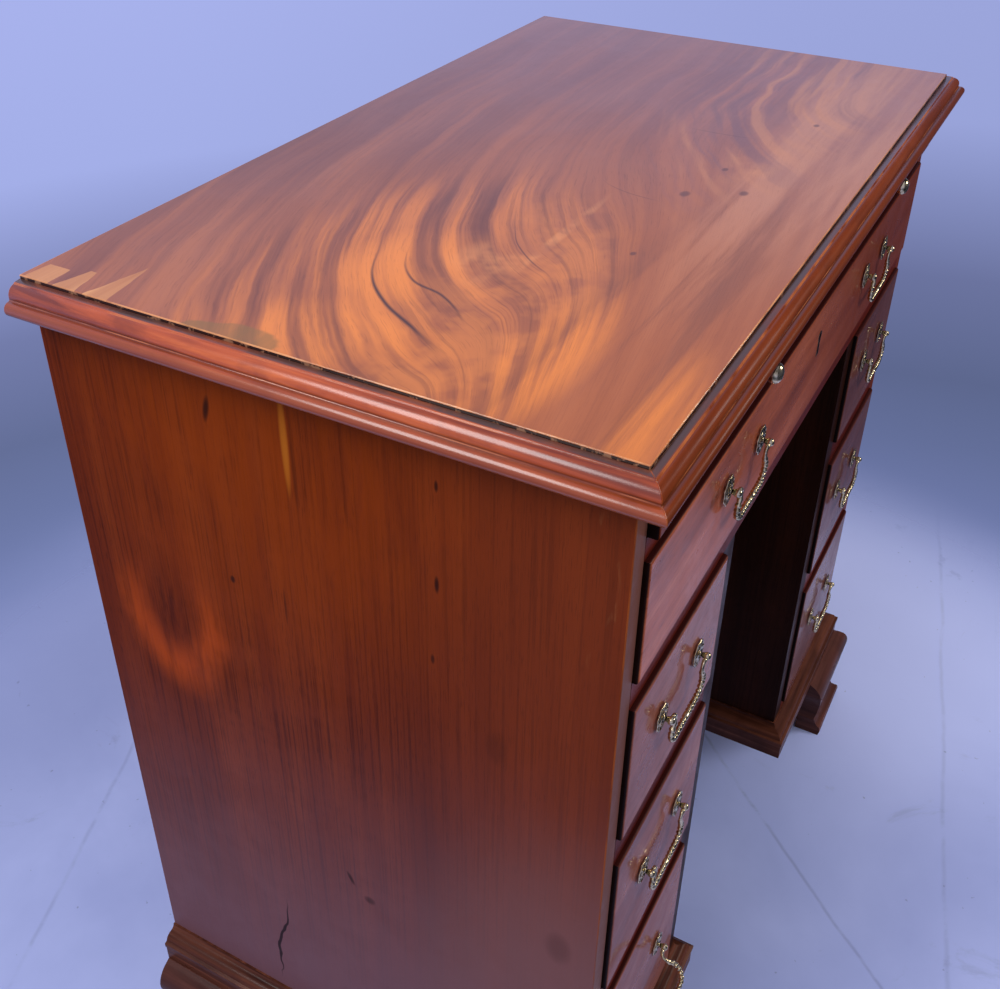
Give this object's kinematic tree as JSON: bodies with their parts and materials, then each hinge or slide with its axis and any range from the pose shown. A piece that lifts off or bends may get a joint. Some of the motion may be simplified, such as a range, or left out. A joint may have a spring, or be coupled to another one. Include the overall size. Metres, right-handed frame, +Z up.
{
  "type": "kneehole desk",
  "caption": "Small mahogany kneehole desk with pedestals of drawers on ogee bracket feet, a long drawer, a brushing slide, a recessed cupboard and brass swan-neck bail handles.",
  "frame": {"origin": "on the floor under the middle of the desk's overall box", "axes": "+X to the right for someone facing the front, +Y to the back, +Z up"},
  "size_m": [0.764, 0.4391, 0.796],
  "materials": {
    "mahogany": "french polished, glossy",
    "plain_mahogany": "planed, matt",
    "brass": "aged, with dark recesses"
  },
  "bodies": {
    "carcase": {"top_board": "mahogany", "top_moulding_front": "mahogany", "top_moulding_left": "mahogany", "top_moulding_right": "mahogany", "left_side": "mahogany", "right_side": "mahogany", "left_inner_side": "mahogany", "right_inner_side": "mahogany", "back_boards": "plain_mahogany", "slide_dustboard": "plain_mahogany", "slide_kickers": "plain_mahogany", "long_drawer_dustboard": "plain_mahogany", "left_dustboards": "plain_mahogany", "right_dustboards": "plain_mahogany", "pedestal_bottoms": "mahogany", "drawer_stops": "plain_mahogany", "base_mouldings": "mahogany", "front_left_foot": "mahogany", "front_right_foot": "mahogany", "back_left_foot": "mahogany", "back_right_foot": "mahogany", "foot_blocks": "plain_mahogany", "cupboard_boards": "plain_mahogany", "cupboard_hinge_leaves": "brass"},
    "cupboard_door": {"cupboard_door_frame": "mahogany", "cupboard_door_panel": "mahogany", "cupboard_door_fittings": "brass"},
    "brushing_slide": {"slide_panel": "plain_mahogany", "slide_frame": "mahogany", "slide_knobs": "brass"},
    "long_drawer": {"long_drawer_front": "mahogany", "long_drawer_box": "plain_mahogany", "long_drawer_lock": "brass", "long_drawer_plates": "brass"},
    "long_drawer_left_handle": {"long_drawer_bail_left": "brass"},
    "long_drawer_right_handle": {"long_drawer_bail_right": "brass"},
    "left_top_drawer": {"left_top_drawer_front": "mahogany", "left_top_drawer_box": "plain_mahogany", "left_top_drawer_plates": "brass"},
    "left_top_handle": {"left_top_drawer_bail": "brass"},
    "left_middle_drawer": {"left_middle_drawer_front": "mahogany", "left_middle_drawer_box": "plain_mahogany", "left_middle_drawer_plates": "brass"},
    "left_middle_handle": {"left_middle_drawer_bail": "brass"},
    "left_bottom_drawer": {"left_bottom_drawer_front": "mahogany", "left_bottom_drawer_box": "plain_mahogany", "left_bottom_drawer_plates": "brass"},
    "left_bottom_handle": {"left_bottom_drawer_bail": "brass"},
    "right_top_drawer": {"right_top_drawer_front": "mahogany", "right_top_drawer_box": "plain_mahogany", "right_top_drawer_plates": "brass"},
    "right_top_handle": {"right_top_drawer_bail": "brass"},
    "right_middle_drawer": {"right_middle_drawer_front": "mahogany", "right_middle_drawer_box": "plain_mahogany", "right_middle_drawer_plates": "brass"},
    "right_middle_handle": {"right_middle_drawer_bail": "brass"},
    "right_bottom_drawer": {"right_bottom_drawer_front": "mahogany", "right_bottom_drawer_box": "plain_mahogany", "right_bottom_drawer_plates": "brass"},
    "right_bottom_handle": {"right_bottom_drawer_bail": "brass"}
  },
  "joints": [
    {"name": "door_swing", "type": "hinge", "parent": "carcase", "child": "cupboard_door", "pos_m": [-0.1468, 0.0303, 0.3825], "axis": [0, 0, -1], "range_deg": [0, 90]},
    {"name": "slide_out", "type": "slide", "parent": "carcase", "child": "brushing_slide", "axis": [0, -1, 0], "range_m": [0, 0.25]},
    {"name": "long_drawer_out", "type": "slide", "parent": "carcase", "child": "long_drawer", "axis": [0, -1, 0], "range_m": [0, 0.29]},
    {"name": "long_drawer_left_bail_swing", "type": "hinge", "parent": "long_drawer", "child": "long_drawer_left_handle", "pos_m": [-0.172, -0.1976, 0.684], "axis": [-1, 0, 0], "range_deg": [-10, 100]},
    {"name": "long_drawer_right_bail_swing", "type": "hinge", "parent": "long_drawer", "child": "long_drawer_right_handle", "pos_m": [0.172, -0.1976, 0.684], "axis": [-1, 0, 0], "range_deg": [-10, 100]},
    {"name": "left_top_drawer_out", "type": "slide", "parent": "carcase", "child": "left_top_drawer", "axis": [0, -1, 0], "range_m": [0, 0.29]},
    {"name": "left_top_bail_swing", "type": "hinge", "parent": "left_top_drawer", "child": "left_top_handle", "pos_m": [-0.253, -0.1976, 0.562], "axis": [-1, 0, 0], "range_deg": [-10, 100]},
    {"name": "left_middle_drawer_out", "type": "slide", "parent": "carcase", "child": "left_middle_drawer", "axis": [0, -1, 0], "range_m": [0, 0.29]},
    {"name": "left_middle_bail_swing", "type": "hinge", "parent": "left_middle_drawer", "child": "left_middle_handle", "pos_m": [-0.253, -0.1976, 0.4125], "axis": [-1, 0, 0], "range_deg": [-10, 100]},
    {"name": "left_bottom_drawer_out", "type": "slide", "parent": "carcase", "child": "left_bottom_drawer", "axis": [0, -1, 0], "range_m": [0, 0.29]},
    {"name": "left_bottom_bail_swing", "type": "hinge", "parent": "left_bottom_drawer", "child": "left_bottom_handle", "pos_m": [-0.253, -0.1976, 0.2415], "axis": [-1, 0, 0], "range_deg": [-65, 45]},
    {"name": "right_top_drawer_out", "type": "slide", "parent": "carcase", "child": "right_top_drawer", "axis": [0, -1, 0], "range_m": [0, 0.29]},
    {"name": "right_top_bail_swing", "type": "hinge", "parent": "right_top_drawer", "child": "right_top_handle", "pos_m": [0.253, -0.1976, 0.562], "axis": [-1, 0, 0], "range_deg": [-10, 100]},
    {"name": "right_middle_drawer_out", "type": "slide", "parent": "carcase", "child": "right_middle_drawer", "axis": [0, -1, 0], "range_m": [0, 0.29]},
    {"name": "right_middle_bail_swing", "type": "hinge", "parent": "right_middle_drawer", "child": "right_middle_handle", "pos_m": [0.253, -0.1976, 0.4125], "axis": [-1, 0, 0], "range_deg": [-10, 100]},
    {"name": "right_bottom_drawer_out", "type": "slide", "parent": "carcase", "child": "right_bottom_drawer", "axis": [0, -1, 0], "range_m": [0, 0.29]},
    {"name": "right_bottom_bail_swing", "type": "hinge", "parent": "right_bottom_drawer", "child": "right_bottom_handle", "pos_m": [0.253, -0.1976, 0.2415], "axis": [-1, 0, 0], "range_deg": [-10, 100]}
  ]
}
